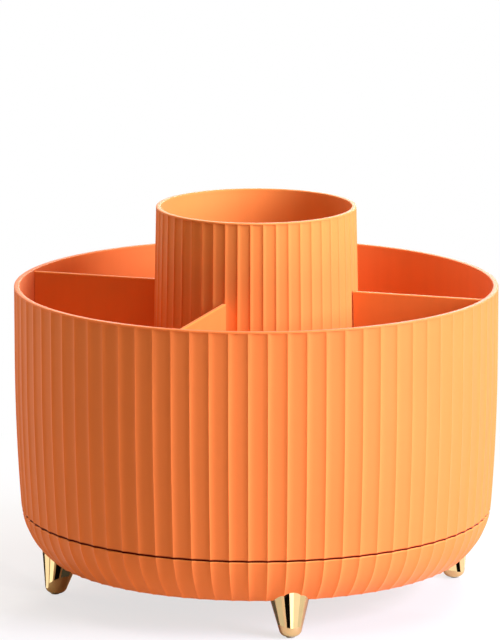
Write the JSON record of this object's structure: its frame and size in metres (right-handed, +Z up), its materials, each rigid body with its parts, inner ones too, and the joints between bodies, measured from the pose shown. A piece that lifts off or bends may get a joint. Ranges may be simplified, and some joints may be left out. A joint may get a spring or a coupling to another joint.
{
  "type": "rotating makeup organizer",
  "caption": "Round fluted tub that turns on a footed ball-bearing base, with a tall brush cup in the middle and upright dividers that make open compartments round it.",
  "frame": {"origin": "on the surface it stands on, under the spin axis", "axes": "+Z up along the spin axis; -Y towards the front, where one foot stands a little right of the middle"},
  "size_m": [0.1942, 0.1942, 0.1567],
  "materials": {
    "orange_plastic": "satin injection-moulded shell",
    "orange_inner_plastic": "plain moulded inner parts",
    "gold_plating": "mirror-bright pale gold plating on plastic",
    "white_acetal": "smooth acetal",
    "bearing_steel": "polished",
    "zinc_steel": "zinc-plated",
    "brass": "turned",
    "clear_silicone": "translucent"
  },
  "bodies": {
    "base": {"base_bowl": "orange_plastic", "base_deck": "orange_inner_plastic", "lower_race": "white_acetal", "pivot_bush": "white_acetal", "pivot_cap": "orange_inner_plastic", "front_foot": "gold_plating", "right_foot": "gold_plating", "rear_foot": "gold_plating", "left_foot": "gold_plating", "foot_pads": "clear_silicone", "foot_screws": "zinc_steel", "deck_screws": "zinc_steel"},
    "tub": {"tub": "orange_plastic", "brush_cup": "orange_plastic", "front_divider": "orange_plastic", "right_divider": "orange_plastic", "rear_divider": "orange_plastic", "left_divider": "orange_plastic", "upper_race": "white_acetal", "cup_screws": "zinc_steel", "pivot_screw": "zinc_steel", "pivot_washer": "zinc_steel", "pivot_nut": "brass"},
    "cage": {"ball_cage": "white_acetal", "bearing_balls": "bearing_steel"}
  },
  "joints": [
    {"name": "tub_spin", "type": "hinge", "parent": "base", "child": "tub", "pos_m": [0, 0, 0.0303], "axis": [0, 0, 1], "continuous": true},
    {"name": "cage_spin", "type": "hinge", "parent": "base", "child": "cage", "pos_m": [0, 0, 0.0303], "axis": [0, 0, 1], "continuous": true}
  ],
  "couplings": [
    {"joint": "cage_spin", "follows": "tub_spin", "ratio": 0.5}
  ]
}
